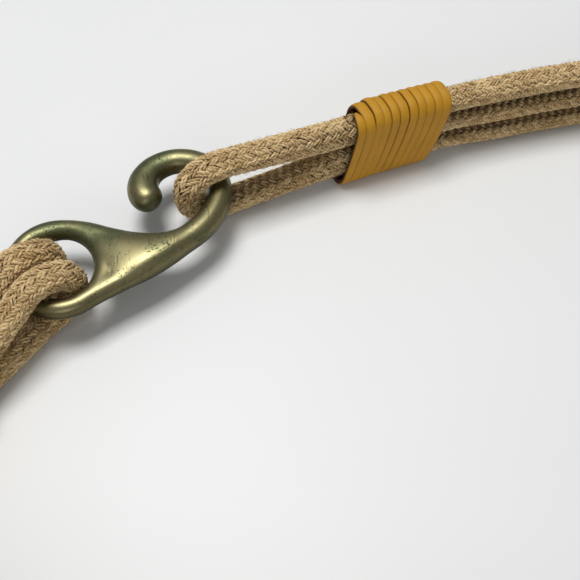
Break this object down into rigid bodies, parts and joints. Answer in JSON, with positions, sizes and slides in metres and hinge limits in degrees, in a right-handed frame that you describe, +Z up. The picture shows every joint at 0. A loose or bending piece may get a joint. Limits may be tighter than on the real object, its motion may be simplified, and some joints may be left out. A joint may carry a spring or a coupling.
{
  "type": "rope belt",
  "caption": "Fastened rope belt: a band of braided cotton cord with a cast brass hook clasp and wound leather laces, standing on its edge as an oval ring.",
  "frame": {"origin": "middle of the box that the standing belt fills, on the surface that it stands on", "axes": "+Z up across the band, +X along the oval's length, +Y to the clasp side; the band stands on its lower edge"},
  "size_m": [0.3878, 0.1798, 0.0238],
  "materials": {
    "cotton_cord": "braided, matte",
    "antique_brass": "antique, satin with wear and dark pits",
    "leather_lace": "smooth waxed, semi-matte"
  },
  "bodies": {
    "root": {"rope": "cotton_cord", "hook_clasp": "antique_brass", "lace_wrap_loop": "leather_lace", "lace_wrap_eye": "leather_lace"}
  },
  "joints": []
}
